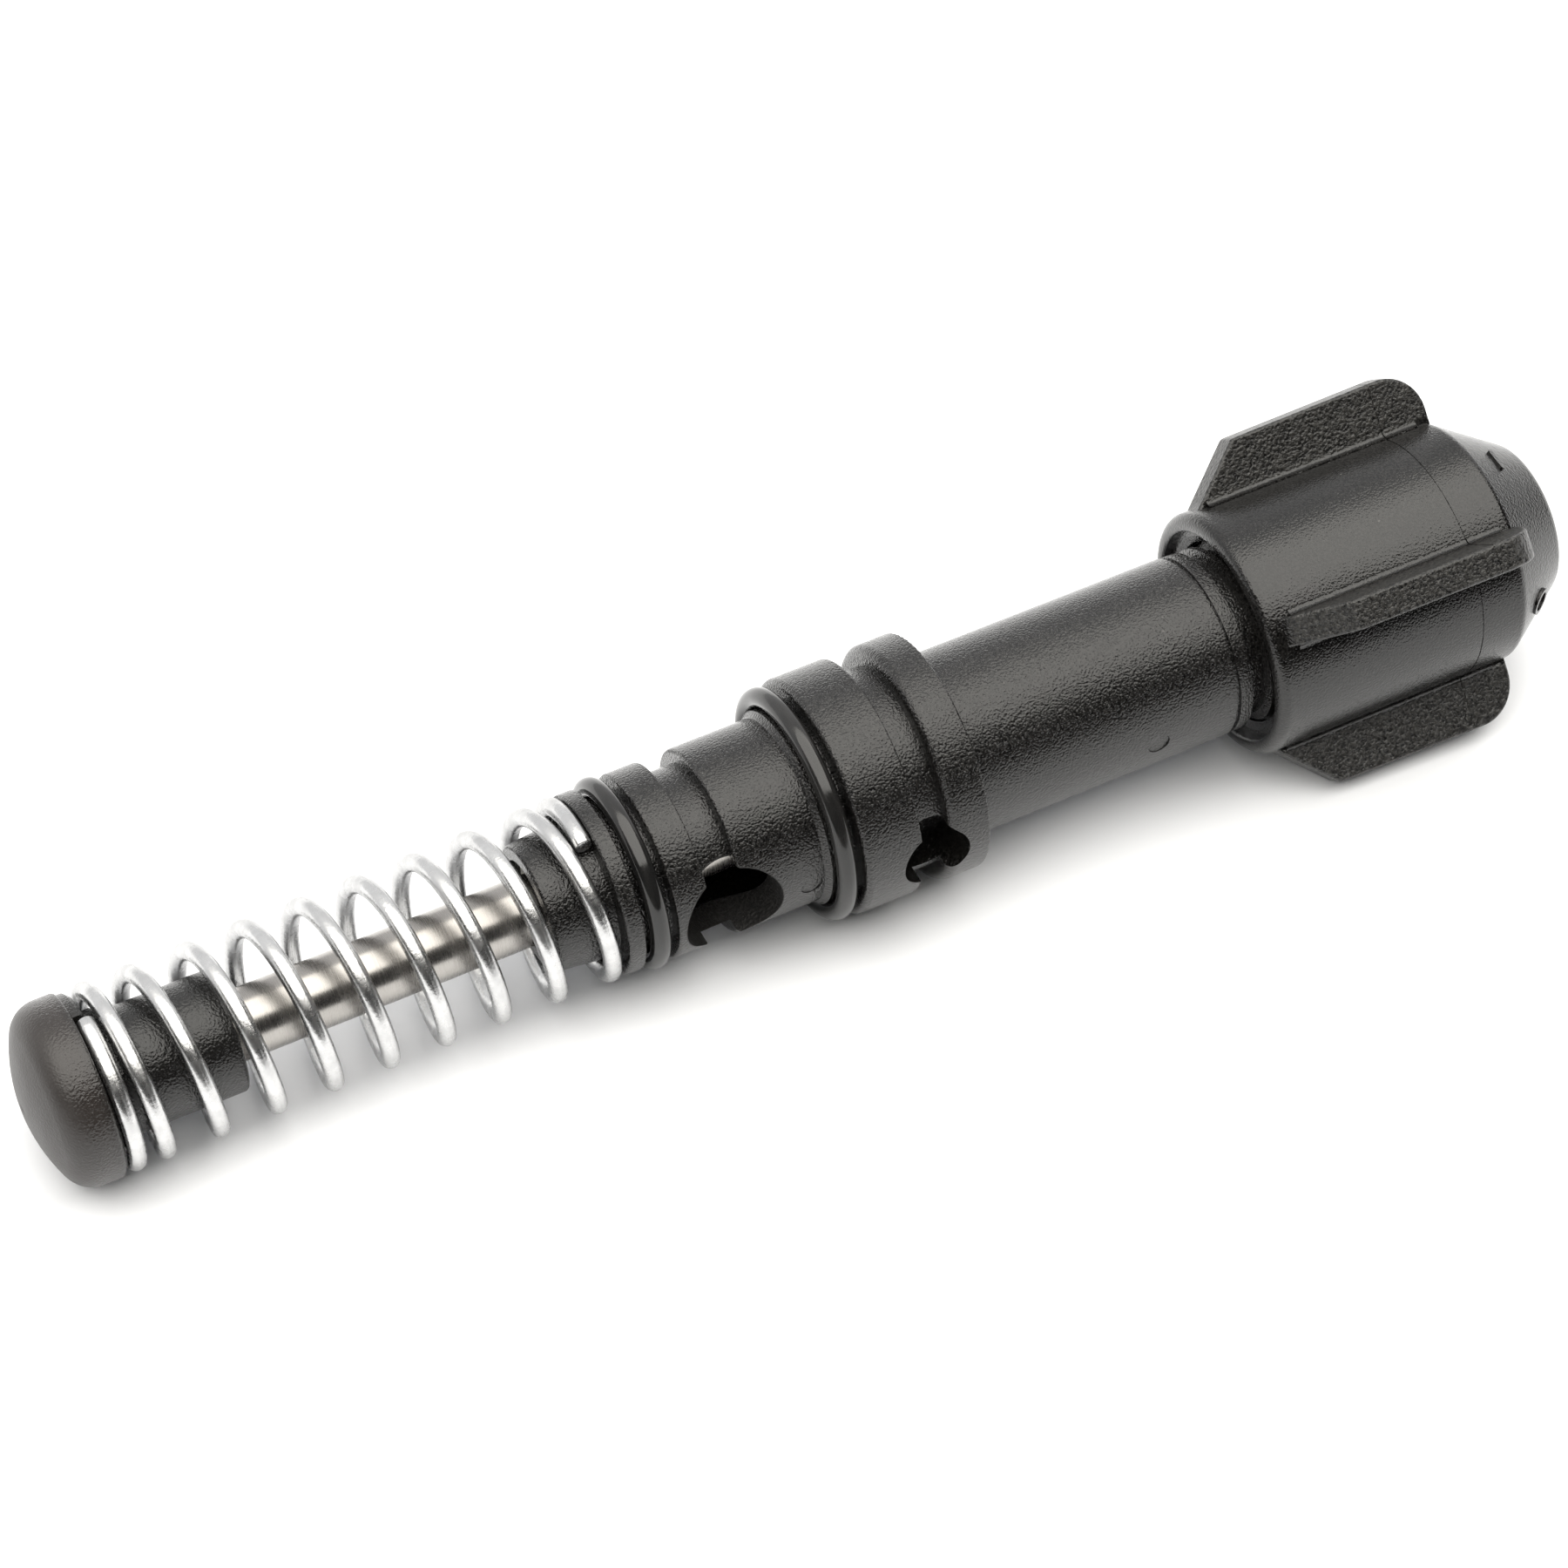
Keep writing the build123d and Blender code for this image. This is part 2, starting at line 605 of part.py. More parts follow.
with BuildPart() as nozzle:
    for number in range(VANES):
        add(vane.part, rotation=(FIRST_VANE_ANGLE + 360 / VANES * number, 0, 0))
    with BuildSketch(Plane.YZ.offset(VANE_ROOT_X)):
        root_top_r = NOZZLE_R + VANE_ROOT_ROUND
        round_centre = VANE_THICKNESS / 2 + VANE_ROOT_ROUND
        with PolarLocations(0, VANES, start_angle=FIRST_VANE_ANGLE):
            with Locations(((vane_root_r + root_top_r) / 2, 0)):
                Rectangle(root_top_r - vane_root_r, 2 * round_centre)
            with Locations((root_top_r, round_centre), (root_top_r, -round_centre)):
                Circle(VANE_ROOT_ROUND, mode=Mode.SUBTRACT)
    extrude(amount=CONE_X - NOZZLE_EDGE_ROUND - VANE_ROOT_X)
    turned(
        [
            (NOZZLE_REAR_X, MOUTH_R),
            (NOZZLE_REAR_X, NOZZLE_R),
            (CONE_X, NOZZLE_R),
            (NOZZLE_FRONT_X, nose_edge_r),
            (NOZZLE_FRONT_X, OUTLET_R),
            (NOZZLE_FRONT_X - OUTLET_DEPTH, ORIFICE_R),
            (INNER_CONE_X + NOZZLE_LAND_R - ORIFICE_R, ORIFICE_R),
            (INNER_CONE_X, NOZZLE_LAND_R),
            (NOZZLE_GLAND_END_X, NOZZLE_LAND_R),
            (NOZZLE_GLAND_END_X, NOZZLE_GLAND_R),
            (NOZZLE_GLAND_X, NOZZLE_GLAND_R),
            (NOZZLE_GLAND_X, NOZZLE_LAND_R),
            (NOZZLE_LAND_X, NOZZLE_LAND_R),
            (NOZZLE_LAND_X, NOZZLE_BORE_R),
            (NOZZLE_BORE_X, NOZZLE_BORE_R),
            (NOZZLE_REAR_X + MOUTH_DEPTH, MOUTH_STEP_R),
            (NOZZLE_REAR_X + MOUTH_DEPTH, MOUTH_R),
        ],
        rounds=[
            ((NOZZLE_REAR_X, NOZZLE_R), NOZZLE_EDGE_ROUND),
            ((NOZZLE_REAR_X, MOUTH_R), MOUTH_ROUND),
            ((CONE_X, NOZZLE_R), NOZZLE_EDGE_ROUND),
            ((NOZZLE_FRONT_X, nose_edge_r), NOSE_ROUND),
        ],
    )
    helical_ridge(
        NOZZLE_BORE_R,
        NOZZLE_BORE_R - RIDGE_HEIGHT,
        NOZZLE_BORE_X + RIDGE_END_GAP,
        NOZZLE_LAND_X - RIDGE_END_GAP,
        180,
    )
    with BuildSketch(Plane.YZ.offset(PARTING_X)) as parting:
        Circle(NOZZLE_R + PARTING_MARGIN)
        with PolarLocations(0, VANES, start_angle=FIRST_VANE_ANGLE):
            with Locations(((VANE_TIP_FRONT_R + PARTING_MARGIN) / 2, 0)):
                Rectangle(VANE_TIP_FRONT_R + PARTING_MARGIN, VANE_THICKNESS + 2 * PARTING_MARGIN)
        Circle(NOZZLE_R - PARTING_DEPTH, mode=Mode.SUBTRACT)
        with PolarLocations(0, VANES, start_angle=FIRST_VANE_ANGLE):
            with Locations(((parting_tip_r - PARTING_DEPTH) / 2, 0)):
                Rectangle(
                    parting_tip_r - PARTING_DEPTH,
                    VANE_THICKNESS - 2 * PARTING_DEPTH,
                    mode=Mode.SUBTRACT,
                )
    extrude(amount=PARTING_WIDTH, mode=Mode.SUBTRACT)
    for number in range(VANES):
        turn = radians(360 / VANES * number)
        outwards = Vector(sin(cone_angle), cos(cone_angle) * cos(turn), cos(cone_angle) * sin(turn))
        centre = Vector(MARK_X, mark_r * cos(turn), mark_r * sin(turn))
        sideways = Vector(0, -sin(turn), cos(turn))
        mark_plane = Plane(origin=centre - outwards * MARK_SINK, x_dir=sideways, z_dir=outwards)
        with BuildSketch(mark_plane):
            if number % 2 == 0:
                Circle(MARK_RING_R)
                Circle(MARK_RING_R - MARK_LINE, mode=Mode.SUBTRACT)
            else:
                SlotOverall(MARK_BAR_LENGTH, MARK_BAR_WIDTH)
        extrude(amount=MARK_SINK + MARK_HEIGHT)
finish(nozzle.part, "nozzle")
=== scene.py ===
"""Looks for the spray valve cartridge: materials, a finer spring, a pale floor, light and camera."""

from math import cos, pi, radians, sin

import bpy
from mathutils import Matrix, Vector


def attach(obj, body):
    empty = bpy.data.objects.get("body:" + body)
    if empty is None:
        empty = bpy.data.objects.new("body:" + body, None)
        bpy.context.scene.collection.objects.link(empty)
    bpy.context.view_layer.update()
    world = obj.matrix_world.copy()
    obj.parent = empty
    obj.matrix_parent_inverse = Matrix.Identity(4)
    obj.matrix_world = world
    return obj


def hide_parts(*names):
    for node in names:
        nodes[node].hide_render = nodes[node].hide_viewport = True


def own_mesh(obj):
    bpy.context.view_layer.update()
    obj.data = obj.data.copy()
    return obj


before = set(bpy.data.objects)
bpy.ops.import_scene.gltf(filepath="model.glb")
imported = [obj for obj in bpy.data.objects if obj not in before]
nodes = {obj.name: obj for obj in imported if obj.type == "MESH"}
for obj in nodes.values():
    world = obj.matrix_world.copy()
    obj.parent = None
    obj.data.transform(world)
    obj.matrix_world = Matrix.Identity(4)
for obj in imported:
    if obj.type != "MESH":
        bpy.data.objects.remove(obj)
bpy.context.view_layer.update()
MM = 0.001

# ---------------------------------------------------------------- shades and places in the materials
WARM_BLACK = (0.0078, 0.0074, 0.0070, 1)
DEEP_BLACK = (0.0015, 0.0014, 0.0013, 1)
DUST_GREY = (0.06, 0.058, 0.055, 1)
PALE_DUST = (0.08, 0.075, 0.07, 1)
BRASS = (0.70, 0.52, 0.26, 1)
BRASS_STAIN = (0.50, 0.36, 0.17, 1)
STEEL = (0.60, 0.60, 0.60, 1)
STEEL_STAIN = (0.42, 0.41, 0.40, 1)

# The centre of the barrel's inlet port.
INLET_X = -13.9 * MM

# The width of a speck's full core, as a share of the speck.
DOT_CORE = 0.6

# The wire's UV has millimetres along it and one turn round it.
LINES_ALONG_WIRE = (0.5, 9.0, 1)

# ---------------------------------------------------------------- node helpers
# The Mix node has sockets of the same name for each kind of data, so they are taken by number.
MIX_SHARE = 0
FLOAT_A, FLOAT_B, FLOAT_RESULT = 2, 3, 0
COLOUR_A, COLOUR_B, COLOUR_RESULT = 6, 7, 2


class Shader:
    """A material's node tree with short calls for the nodes used here."""

    def __init__(self, name):
        self.material = bpy.data.materials.new(name)
        self.material.use_nodes = True
        self.tree = self.material.node_tree
        self.bsdf = self.tree.nodes["Principled BSDF"]
        self.point = self.new("ShaderNodeTexCoord").outputs["Object"]

    def new(self, kind, **settings):
        """A new node of a kind, with its settings."""
        node = self.tree.nodes.new(kind)
        for key, value in settings.items():
            setattr(node, key, value)
        return node

    def link(self, source, target):
        self.tree.links.new(source, target)

    def feed(self, socket, value):
        """Link a socket to the input, or set its constant."""
        if isinstance(value, bpy.types.NodeSocket):
            self.link(value, socket)
        else:
            socket.default_value = value

    def stretched(self, along, across):
        """Object coordinates scaled along the X axis and across it, in 1/mm."""
        node = self.new("ShaderNodeMapping")
        self.link(self.point, node.inputs["Vector"])
        node.inputs["Scale"].default_value = (along / MM, across / MM, across / MM)
        return node.outputs["Vector"]

    def scaled(self, scale):
        """Object coordinates with one scale for all axes, in 1/mm."""
        return self.stretched(scale, scale)

    def noise(self, point, detail=2.0, roughness=0.5, distortion=0.0):
        """Cloudy noise, mostly between 0.3 and 0.7."""
        node = self.new("ShaderNodeTexNoise")
        self.link(point, node.inputs["Vector"])
        node.inputs["Scale"].default_value = 1.0
        node.inputs["Detail"].default_value = detail
        node.inputs["Roughness"].default_value = roughness
        node.inputs["Distortion"].default_value = distortion
        return node.outputs["Fac"]

    def cells(self, point):
        """Distance to the nearest of many scattered points."""
        node = self.new("ShaderNodeTexVoronoi")
        self.link(point, node.inputs["Vector"])
        node.inputs["Scale"].default_value = 1.0
        return node.outputs["Distance"]

    def mapped(self, value, low, high, to_low=0.0, to_high=1.0, smooth=False):
        """The value carried from one range to another, and held at that range's ends."""
        node = self.new("ShaderNodeMapRange")
        node.interpolation_type = "SMOOTHSTEP" if smooth else "LINEAR"
        self.feed(node.inputs["Value"], value)
        limits = {"From Min": low, "From Max": high, "To Min": to_low, "To Max": to_high}
        for key, number in limits.items():
            node.inputs[key].default_value = number
        return node.outputs["Result"]

    def math(self, operation, a, b=0.0):
        node = self.new("ShaderNodeMath", operation=operation)
        self.feed(node.inputs[0], a)
        self.feed(node.inputs[1], b)
        return node.outputs[0]

    def mix(self, share, a, b):
        node = self.new("ShaderNodeMix", data_type="FLOAT")
        self.feed(node.inputs[MIX_SHARE], share)
        self.feed(node.inputs[FLOAT_A], a)
        self.feed(node.inputs[FLOAT_B], b)
        return node.outputs[FLOAT_RESULT]

    def mix_colour(self, share, a, b):
        node = self.new("ShaderNodeMix", data_type="RGBA")
        self.feed(node.inputs[MIX_SHARE], share)
        self.feed(node.inputs[COLOUR_A], a)
        self.feed(node.inputs[COLOUR_B], b)
        return node.outputs[COLOUR_RESULT]

    def axis_parts(self):
        node = self.new("ShaderNodeSeparateXYZ")
        self.link(self.point, node.inputs[0])
        return node.outputs

    def radius(self):
        """Distance from the X axis in metres."""
        parts = self.axis_parts()
        y_square = self.math("MULTIPLY", parts[1], parts[1])
        z_square = self.math("MULTIPLY", parts[2], parts[2])
        return self.math("SQRT", self.math("ADD", y_square, z_square))

    def bump(self, height, depth_mm):
        """Normals of a relief whose height of 1 is depth_mm deep."""
        node = self.new("ShaderNodeBump")
        self.link(height, node.inputs["Height"])
        node.inputs["Distance"].default_value = depth_mm * MM
        return node.outputs["Normal"]

    def surface(self, **values):
        """The finished material, with values or sockets for the inputs of its Principled BSDF."""
        for key, value in values.items():
            self.feed(self.bsdf.inputs[key.replace("_", " ")], value)
        return self.material


def speck_mask(shader, spacing_mm, radius):
    """Sparse small dots: 1 in a dot's core, 0 outside it. The radius is a share of the spacing."""
    cells = shader.cells(shader.scaled(1 / spacing_mm))
    return shader.mapped(cells, radius, radius * DOT_CORE)


# ---------------------------------------------------------------- materials
def barrel_plastic():
    """Black moulded plastic: eroded grain, faint flow shades, a few specks, duller in the port."""
    s = Shader("barrel_plastic")
    grain = s.noise(s.scaled(4.8), detail=1.5, roughness=0.45)
    fine = s.noise(s.scaled(12.4), detail=1.0)
    flow = s.noise(s.stretched(0.05, 0.16), detail=3.0, roughness=0.6)
    fine_share = 0.15
    height = s.math("ADD", grain, s.math("MULTIPLY", fine, fine_share))
    darker = (0.0150, 0.0143, 0.0134, 1)
    lighter = (0.0205, 0.0195, 0.0184, 1)
    pale = s.mix_colour(s.mapped(flow, low=0.35, high=0.7), darker, lighter)
    base = s.mix_colour(s.mapped(height, low=0.42, high=0.80), DEEP_BLACK, pale)
    base = s.mix_colour(speck_mask(s, spacing_mm=2.4, radius=0.05), base, DUST_GREY)
    place = s.axis_parts()
    along = s.math("SUBTRACT", place[0], INLET_X)
    along_square = s.math("MULTIPLY", along, along)
    across_square = s.math("MULTIPLY", place[2], place[2])
    from_port = s.math("SQRT", s.math("ADD", along_square, across_square))
    in_radius = s.mapped(from_port, low=4.65 * MM, high=4.55 * MM)
    on_port_side = s.mapped(place[1], low=0.0, high=-1.0 * MM)
    in_port = s.math("MULTIPLY", in_radius, on_port_side)
    outside_roughness = s.mapped(flow, low=0.3, high=0.7, to_low=0.09, to_high=0.16)
    port_roughness = 0.55
    roughness = s.mix(in_port, outside_roughness, port_roughness)
    return s.surface(Base_Color=base, Roughness=roughness, Normal=s.bump(height, depth_mm=0.10))


def nozzle_plastic():
    """The nozzle's plastic: fine grain on the turned body and coarse erosion grain on the vanes."""
    s = Shader("nozzle_plastic")
    on_vane = s.mapped(s.radius(), low=11.45 * MM, high=11.9 * MM, smooth=True)
    body_grain = s.noise(s.scaled(5.0), detail=1.5, roughness=0.45)
    vane_grain = s.noise(s.scaled(3.4), detail=2.0, roughness=0.55, distortion=0.35)
    vane_pits = s.cells(s.scaled(2.8))
    fine = s.noise(s.scaled(11.0), detail=1.0)
    pit_share = 0.45
    body_share = 0.40
    fine_share = 0.06
    rough_height = s.math("ADD", vane_grain, s.math("MULTIPLY", vane_pits, pit_share))
    height = s.mix(on_vane, s.math("MULTIPLY", body_grain, body_share), rough_height)
    height = s.math("ADD", height, s.math("MULTIPLY", fine, fine_share))
    flow = s.noise(s.stretched(0.06, 0.14), detail=3.0, roughness=0.6)
    darker = (0.0115, 0.0110, 0.0104, 1)
    lighter = (0.0170, 0.0162, 0.0154, 1)
    pale = s.mix_colour(s.mapped(flow, low=0.35, high=0.7), darker, lighter)
    body = s.mix_colour(s.mapped(body_grain, low=0.35, high=0.65), DEEP_BLACK, pale)
    vane_tone = s.mapped(rough_height, low=0.55, high=1.0)
    vane_peaks = (0.034, 0.0325, 0.030, 1)
    base = s.mix_colour(on_vane, body, s.mix_colour(vane_tone, DEEP_BLACK, vane_peaks))
    base = s.mix_colour(speck_mask(s, spacing_mm=2.4, radius=0.05), base, DUST_GREY)
    body_roughness = s.mapped(flow, low=0.3, high=0.7, to_low=0.11, to_high=0.17)
    vane_roughness = 0.30
    roughness = s.mix(on_vane, body_roughness, vane_roughness)
    return s.surface(Base_Color=base, Roughness=roughness, Normal=s.bump(height, depth_mm=0.13))


def button_plastic():
    """The button: a satin dome with a brown cast and a glossier grained sleeve."""
    s = Shader("button_plastic")
    along = s.axis_parts()[0]
    on_rim = s.mapped(along, low=-72.8 * MM, high=-70.2 * MM, smooth=True)
    on_sleeve = s.mapped(along, low=-70.0 * MM, high=-68.0 * MM, smooth=True)
    grain = s.noise(s.scaled(4.6), detail=1.5, roughness=0.45)
    fine = s.noise(s.scaled(12.0), detail=1.0)
    cloud = s.noise(s.scaled(0.22), detail=4.0, roughness=0.6)
    fine_share = 0.15
    height = s.math("ADD", grain, s.math("MULTIPLY", fine, fine_share))
    darker = (0.0205, 0.0172, 0.0158, 1)
    lighter = (0.0262, 0.0221, 0.0203, 1)
    dome = s.mix_colour(s.mapped(cloud, low=0.3, high=0.7), darker, lighter)
    base = s.mix_colour(on_sleeve, dome, WARM_BLACK)
    base = s.mix_colour(speck_mask(s, spacing_mm=2.2, radius=0.05), base, PALE_DUST)
    dome_roughness = s.mapped(cloud, low=0.3, high=0.7, to_low=0.40, to_high=0.50)
    rim_roughness = 0.23
    roughness = s.mix(on_rim, dome_roughness, rim_roughness)
    mean_height = 0.575
    dome_depth = 0.035
    rim_depth = 0.085
    relief = s.math("SUBTRACT", height, mean_height)
    relief = s.math("MULTIPLY", relief, s.mix(on_rim, dome_depth, rim_depth))
    return s.surface(Base_Color=base, Roughness=roughness, Normal=s.bump(relief, depth_mm=1.0))


def seal_rubber():
    """Greased black rubber: soft ripples and smears in its gloss."""
    s = Shader("seal_rubber")
    ripple = s.noise(s.stretched(1.3, 0.35), detail=3.0, roughness=0.55)
    smear = s.noise(s.stretched(0.9, 0.25), detail=4.0, roughness=0.65)
    darker = (0.009, 0.009, 0.009, 1)
    lighter = (0.018, 0.0175, 0.017, 1)
    base = s.mix_colour(s.mapped(smear, low=0.35, high=0.7), darker, lighter)
    roughness = s.mapped(smear, low=0.3, high=0.75, to_low=0.06, to_high=0.24)
    return s.surface(Base_Color=base, Roughness=roughness, Normal=s.bump(ripple, depth_mm=0.02))


def ground_steel():
    """The stem: centreless-ground bar with fine rings round it and faint handling marks."""
    s = Shader("rod_steel")
    rings = s.noise(s.stretched(9.0, 0.12), detail=3.0, roughness=0.6)
    scuff = s.noise(s.stretched(0.12, 0.5), detail=4.0, roughness=0.6)
    darker = (0.345, 0.329, 0.311, 1)
    lighter = (0.410, 0.393, 0.372, 1)
    base = s.mix_colour(s.mapped(scuff, low=0.35, high=0.7), darker, lighter)
    roughness = s.mapped(rings, low=0.35, high=0.65, to_low=0.24, to_high=0.29)
    relief = s.bump(rings, depth_mm=0.0008)
    return s.surface(Base_Color=base, Metallic=1.0, Roughness=roughness, Normal=relief)


def zinc_wire():
    """The spring: bright zinc plate on drawn wire, with die lines along it and duller patches."""
    s = Shader("spring_steel")
    uv = s.new("ShaderNodeTexCoord").outputs["UV"]
    lines = s.new("ShaderNodeMapping")
    s.link(uv, lines.inputs["Vector"])
    lines.inputs["Scale"].default_value = LINES_ALONG_WIRE
    die_lines = s.noise(lines.outputs["Vector"], detail=4.0, roughness=0.65)
    patches = s.noise(s.scaled(0.7), detail=4.0, roughness=0.6)
    pits = s.noise(s.scaled(3.2), detail=2.0, roughness=0.5)
    bright = (0.64, 0.64, 0.64, 1)
    dull = (0.52, 0.52, 0.52, 1)
    line_grey = (0.38, 0.375, 0.37, 1)
    base = s.mix_colour(s.mapped(patches, low=0.35, high=0.75), bright, dull)
    base = s.mix_colour(s.mapped(die_lines, low=0.60, high=0.80, to_high=0.5), base, line_grey)
    roughness = s.mapped(patches, low=0.3, high=0.75, to_low=0.22, to_high=0.34)
    edge_tint = (0.78, 0.78, 0.78, 1)
    pit_share = 0.8
    height = s.math("ADD", die_lines, s.math("MULTIPLY", pits, pit_share))
    return s.surface(
        Base_Color=base,
        Metallic=1.0,
        Specular_Tint=edge_tint,
        Roughness=roughness,
        Normal=s.bump(height, depth_mm=0.022),
    )


def turned_metal(name, light, dark):
    """Small turned or stamped metal pieces: tool rings and stains."""
    s = Shader(name)
    rings = s.noise(s.stretched(7.0, 0.4), detail=3.0)
    stain = s.noise(s.scaled(0.4), detail=4.0, roughness=0.65)
    base = s.mix_colour(s.mapped(stain, low=0.35, high=0.7), light, dark)
    roughness = s.mapped(rings, low=0.3, high=0.7, to_low=0.22, to_high=0.38)
    relief = s.bump(rings, depth_mm=0.003)
    return s.surface(Base_Color=base, Metallic=1.0, Roughness=roughness, Normal=relief)


def acetal():
    """Natural white acetal of the guides and the poppet."""
    s = Shader("guide_acetal")
    cloud = s.noise(s.scaled(0.5), detail=3.0)
    grain = s.noise(s.scaled(4.0), detail=1.5)
    lighter = (0.74, 0.73, 0.69, 1)
    darker = (0.66, 0.65, 0.60, 1)
    base = s.mix_colour(s.mapped(cloud, low=0.3, high=0.7), lighter, darker)
    roughness = s.mapped(cloud, low=0.3, high=0.7, to_low=0.3, to_high=0.4)
    return s.surface(Base_Color=base, Roughness=roughness, Normal=s.bump(grain, depth_mm=0.006))


looks = {
    "barrel": barrel_plastic(),
    "nozzle": nozzle_plastic(),
    "button_cap": button_plastic(),
    "stem_rod": ground_steel(),
    "button_insert": turned_metal("insert_brass", BRASS, BRASS_STAIN),
    "stop_clip": turned_metal("hardware_steel", STEEL, STEEL_STAIN),
    "valve_poppet": acetal(),
}
looks["nose_nut"] = looks["button_insert"]
looks["lock_washer"] = looks["seal_washer"] = looks["stop_clip"]
looks["front_guide"] = looks["rear_guide_bush"] = looks["valve_poppet"]
rubber = seal_rubber()
for seal in ("rear_o_ring", "collar_o_ring", "rod_seal", "nozzle_o_ring", "poppet_o_ring"):
    looks[seal] = rubber
for node, material in looks.items():
    nodes[node].data.materials.clear()
    nodes[node].data.materials.append(material)

# ---------------------------------------------------------------- spring, finer than its CAD solid
WIRE_R = 0.8 * MM
BROKEN_RIM = 0.12 * MM
COIL_R = 7.3 * MM
FRONT_COIL_R = 7.45 * MM
FLARE_START_TURNS = 3.0
FLARE_END_TURNS = 1.0
TURNS = 10.045
REAR_PITCH = 1.2 * MM
REAR_OPENING_TURNS = 2.1
FRONT_PITCH = 0.1 * MM
FRONT_CLOSED_TURNS = 0.5
FRONT_OPENING_TURNS = 0.35
START_ANGLE_DEGREES = 84.0
START_X = -67.95 * MM
END_X = -24.4 * MM
STEPS = 480
SIDES = 28


def eased(share):
    """A smooth step from 0 to 1."""
    share = min(max(share, 0), 1)
    return share * share * (3 - 2 * share)


def pitch_parts(turn):
    """The share of the active pitch at a turn, and the pitch that the flatter end turns add."""
    rear = eased(turn / REAR_OPENING_TURNS)
    front = eased((TURNS - turn - FRONT_CLOSED_TURNS) / FRONT_OPENING_TURNS)
    return rear * front, REAR_PITCH * (1 - rear) + FRONT_PITCH * (1 - front)


def coil_points():
    """The wire's centre line."""
    parts = [pitch_parts(TURNS * (step + 0.5) / STEPS) for step in range(STEPS)]
    end_pitches = sum(end_pitch for _, end_pitch in parts)
    active_shares = sum(share for share, _ in parts)
    active_pitch = ((END_X - START_X) * STEPS / TURNS - end_pitches) / active_shares
    points = []
    x = START_X
    for step in range(STEPS + 1):
        turn = TURNS * step / STEPS
        angle = radians(START_ANGLE_DEGREES) + 2 * pi * turn
        flare = eased((turn - TURNS + FLARE_START_TURNS) / (FLARE_START_TURNS - FLARE_END_TURNS))
        radius = COIL_R + (FRONT_COIL_R - COIL_R) * flare
        points.append(Vector((x, radius * cos(angle), radius * sin(angle))))
        if step < STEPS:
            share, end_pitch = parts[step]
            x += (active_pitch * share + end_pitch) * TURNS / STEPS
    return points


def wire_mesh(name, points, radius):
    """A round wire along points, with sheared ends whose rims are slightly broken."""
    vertices = []
    faces = []
    coordinates = []
    length = 0.0
    rings = []
    last = len(points) - 1
    for index, point in enumerate(points):
        before = points[max(index - 1, 0)]
        after = points[min(index + 1, last)]
        along = (after - before).normalized()
        outwards = Vector((0, point.y, point.z))
        outwards = (outwards - along * outwards.dot(along)).normalized()
        sideways = along.cross(outwards)
        if index:
            length += (point - points[index - 1]).length
        if index == 0:
            rings.append((point, radius - BROKEN_RIM, outwards, sideways, length))
            rings.append((point + along * BROKEN_RIM, radius, outwards, sideways, length))
        elif index == last:
            rings.append((point - along * BROKEN_RIM, radius, outwards, sideways, length))
            rings.append((point, radius - BROKEN_RIM, outwards, sideways, length))
        else:
            rings.append((point, radius, outwards, sideways, length))
    for centre, size, outwards, sideways, distance in rings:
        for step in range(SIDES):
            angle = 2 * pi * step / SIDES
            vertices.append(centre + (outwards * cos(angle) + sideways * sin(angle)) * size)
            coordinates.append((distance / MM, step / SIDES))
    for ring in range(len(rings) - 1):
        for step in range(SIDES):
            after = (step + 1) % SIDES
            a = ring * SIDES
            b = a + SIDES
            faces.append((a + step, a + after, b + after, b + step))
    faces.append(tuple(reversed(range(SIDES))))
    faces.append(tuple(range(len(vertices) - SIDES, len(vertices))))
    mesh = bpy.data.meshes.new(name)
    mesh.from_pydata(vertices, [], faces)
    layer = mesh.uv_layers.new(name="wire")
    for loop in mesh.loops:
        layer.data[loop.index].uv = coordinates[loop.vertex_index]
    mesh.polygons.foreach_set("use_smooth", [len(face) == 4 for face in faces])
    mesh.update()
    return mesh


spring = bpy.data.objects.new("spring_wire", wire_mesh("spring_wire", coil_points(), WIRE_R))
bpy.context.scene.collection.objects.link(spring)
spring.data.materials.append(zinc_wire())
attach(spring, "barrel")
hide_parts("return_spring")
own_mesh(spring)

# ---------------------------------------------------------------- floor
FLOOR_REACH = 6.0
FLOOR_SLOPE = -0.0385
COLLAR_REST = Vector((-2.1 * MM, 0, -10.77 * MM))


def pale_floor():
    """Matt white board with hardly visible clouds."""
    s = Shader("pale_floor")
    cloud = s.noise(s.scaled(0.004))
    darker = (0.900, 0.912, 0.940, 1)
    lighter = (0.915, 0.927, 0.955, 1)
    return s.surface(Base_Color=s.mix_colour(cloud, darker, lighter), Roughness=0.9)


def floor_point(side_x, side_y):
    """A corner of the floor, which slopes so that it meets the collar and the vanes."""
    x = side_x * FLOOR_REACH
    return x, side_y * FLOOR_REACH, COLLAR_REST.z + FLOOR_SLOPE * (x - COLLAR_REST.x)


floor_mesh = bpy.data.meshes.new("floor")
corners = [(-1, -1), (1, -1), (1, 1), (-1, 1)]
floor_mesh.from_pydata([floor_point(x, y) for x, y in corners], [], [(0, 1, 2, 3)])
floor = bpy.data.objects.new("floor", floor_mesh)
bpy.context.scene.collection.objects.link(floor)
floor_mesh.materials.append(pale_floor())


# ---------------------------------------------------------------- light
def softbox(name, centre, size, radiance, colour):
    """A rectangular light that shines straight down; radiance is what it looks like in a mirror."""
    data = bpy.data.lights.new(name, "AREA")
    data.shape = "RECTANGLE"
    data.size, data.size_y = size
    data.energy = radiance * pi * size[0] * size[1]
    data.color = colour
    light = bpy.data.objects.new(name, data)
    light.location = centre
    light.visible_camera = False
    bpy.context.scene.collection.objects.link(light)


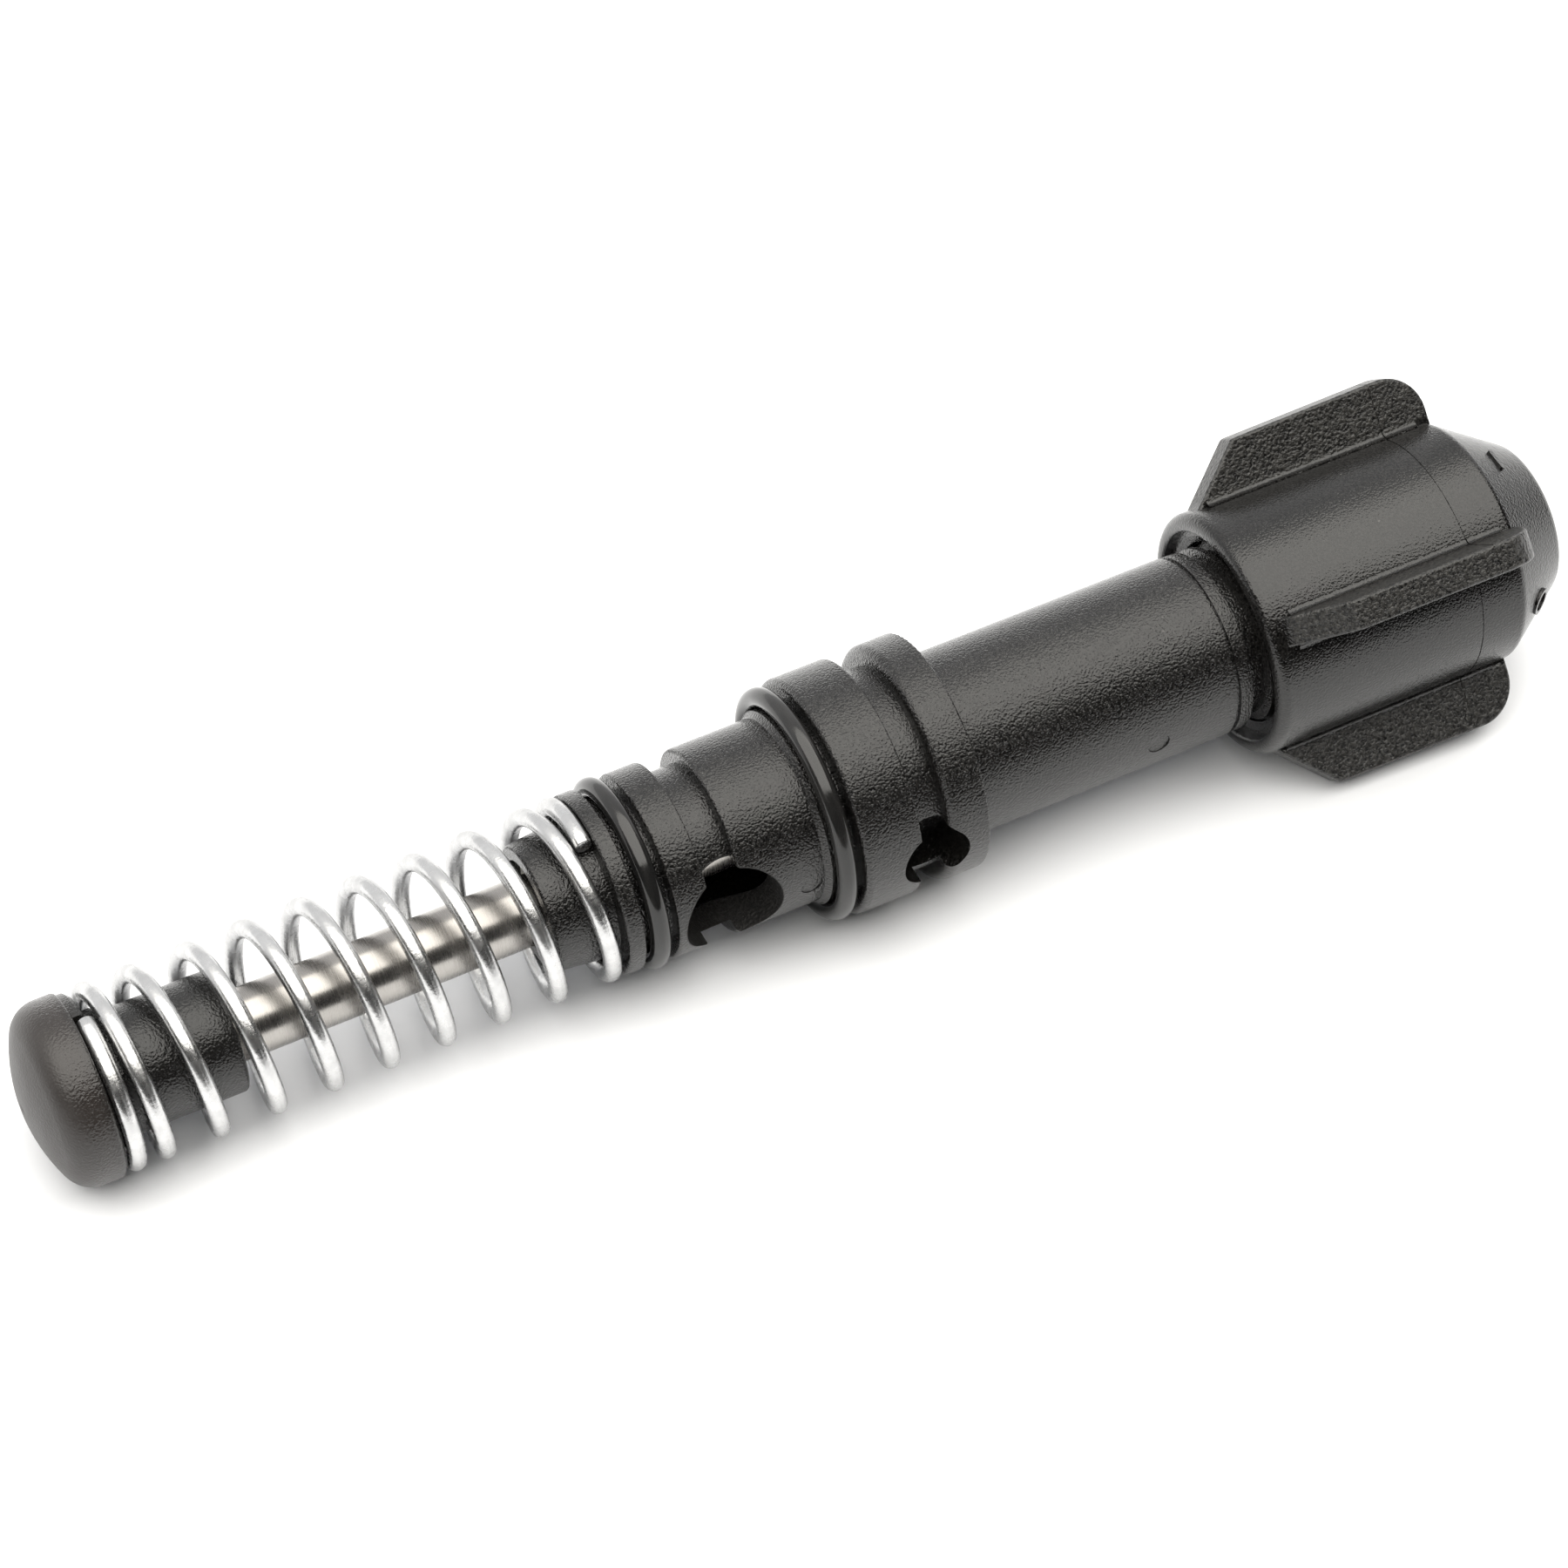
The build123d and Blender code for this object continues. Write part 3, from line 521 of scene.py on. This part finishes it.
softbox(
    "overhead_softbox",
    centre=(0, -0.06, 1.2),
    size=(3.2, 1.586),
    radiance=3.6,
    colour=(1.0, 0.978, 0.925),
)

WALL_SIDE = (0, 0.8536, -0.521)
WALL_EDGE = (-0.02, 0.06)
WALL_SHADE = (1.0, 1.0, 1.0, 1)
ROOM_SHADE = (0.02, 0.02, 0.02, 1)
SEEN_SHADE = (0.95, 0.95, 0.95, 1)

world = bpy.data.worlds.new("studio")
bpy.context.scene.world = world
world.use_nodes = True
tree = world.node_tree
background = tree.nodes["Background"]
direction = tree.nodes.new("ShaderNodeTexCoord")
slant = tree.nodes.new("ShaderNodeVectorMath")
slant.operation = "DOT_PRODUCT"
tree.links.new(direction.outputs["Generated"], slant.inputs[0])
slant.inputs[1].default_value = WALL_SIDE
toward_back = tree.nodes.new("ShaderNodeMapRange")
toward_back.interpolation_type = "SMOOTHSTEP"
tree.links.new(slant.outputs["Value"], toward_back.inputs["Value"])
toward_back.inputs["From Min"].default_value = WALL_EDGE[0]
toward_back.inputs["From Max"].default_value = WALL_EDGE[1]
shade = tree.nodes.new("ShaderNodeMix")
shade.data_type = "RGBA"
tree.links.new(toward_back.outputs["Result"], shade.inputs[MIX_SHARE])
shade.inputs[COLOUR_A].default_value = ROOM_SHADE
shade.inputs[COLOUR_B].default_value = WALL_SHADE
seen = tree.nodes.new("ShaderNodeLightPath")
view_shade = tree.nodes.new("ShaderNodeMix")
view_shade.data_type = "RGBA"
tree.links.new(seen.outputs["Is Camera Ray"], view_shade.inputs[MIX_SHARE])
tree.links.new(shade.outputs[COLOUR_RESULT], view_shade.inputs[COLOUR_A])
view_shade.inputs[COLOUR_B].default_value = SEEN_SHADE
tree.links.new(view_shade.outputs[COLOUR_RESULT], background.inputs["Color"])
bpy.context.scene.view_settings.view_transform = "Standard"

# ---------------------------------------------------------------- camera
TO_CAMERA = Vector((-0.281, -0.556, 0.783)).normalized()
CAMERA_PLACE = Vector((-121.302, -229.810, 326.984)) * MM
SENSOR_WIDTH_MM = 36.0
FOCAL_LENGTH_MM = 112.0
NEAREST_SEEN = 0.01
right = Vector((0, 0, 1)).cross(TO_CAMERA).normalized()
above = TO_CAMERA.cross(right)
camera_data = bpy.data.cameras.new("camera")
camera_data.sensor_width = SENSOR_WIDTH_MM
camera_data.lens = FOCAL_LENGTH_MM
camera_data.clip_start = NEAREST_SEEN
camera = bpy.data.objects.new("camera", camera_data)
turn = Matrix((right, above, TO_CAMERA)).transposed().to_4x4()
camera.matrix_world = Matrix.Translation(CAMERA_PLACE) @ turn
bpy.context.scene.collection.objects.link(camera)
bpy.context.scene.camera = camera
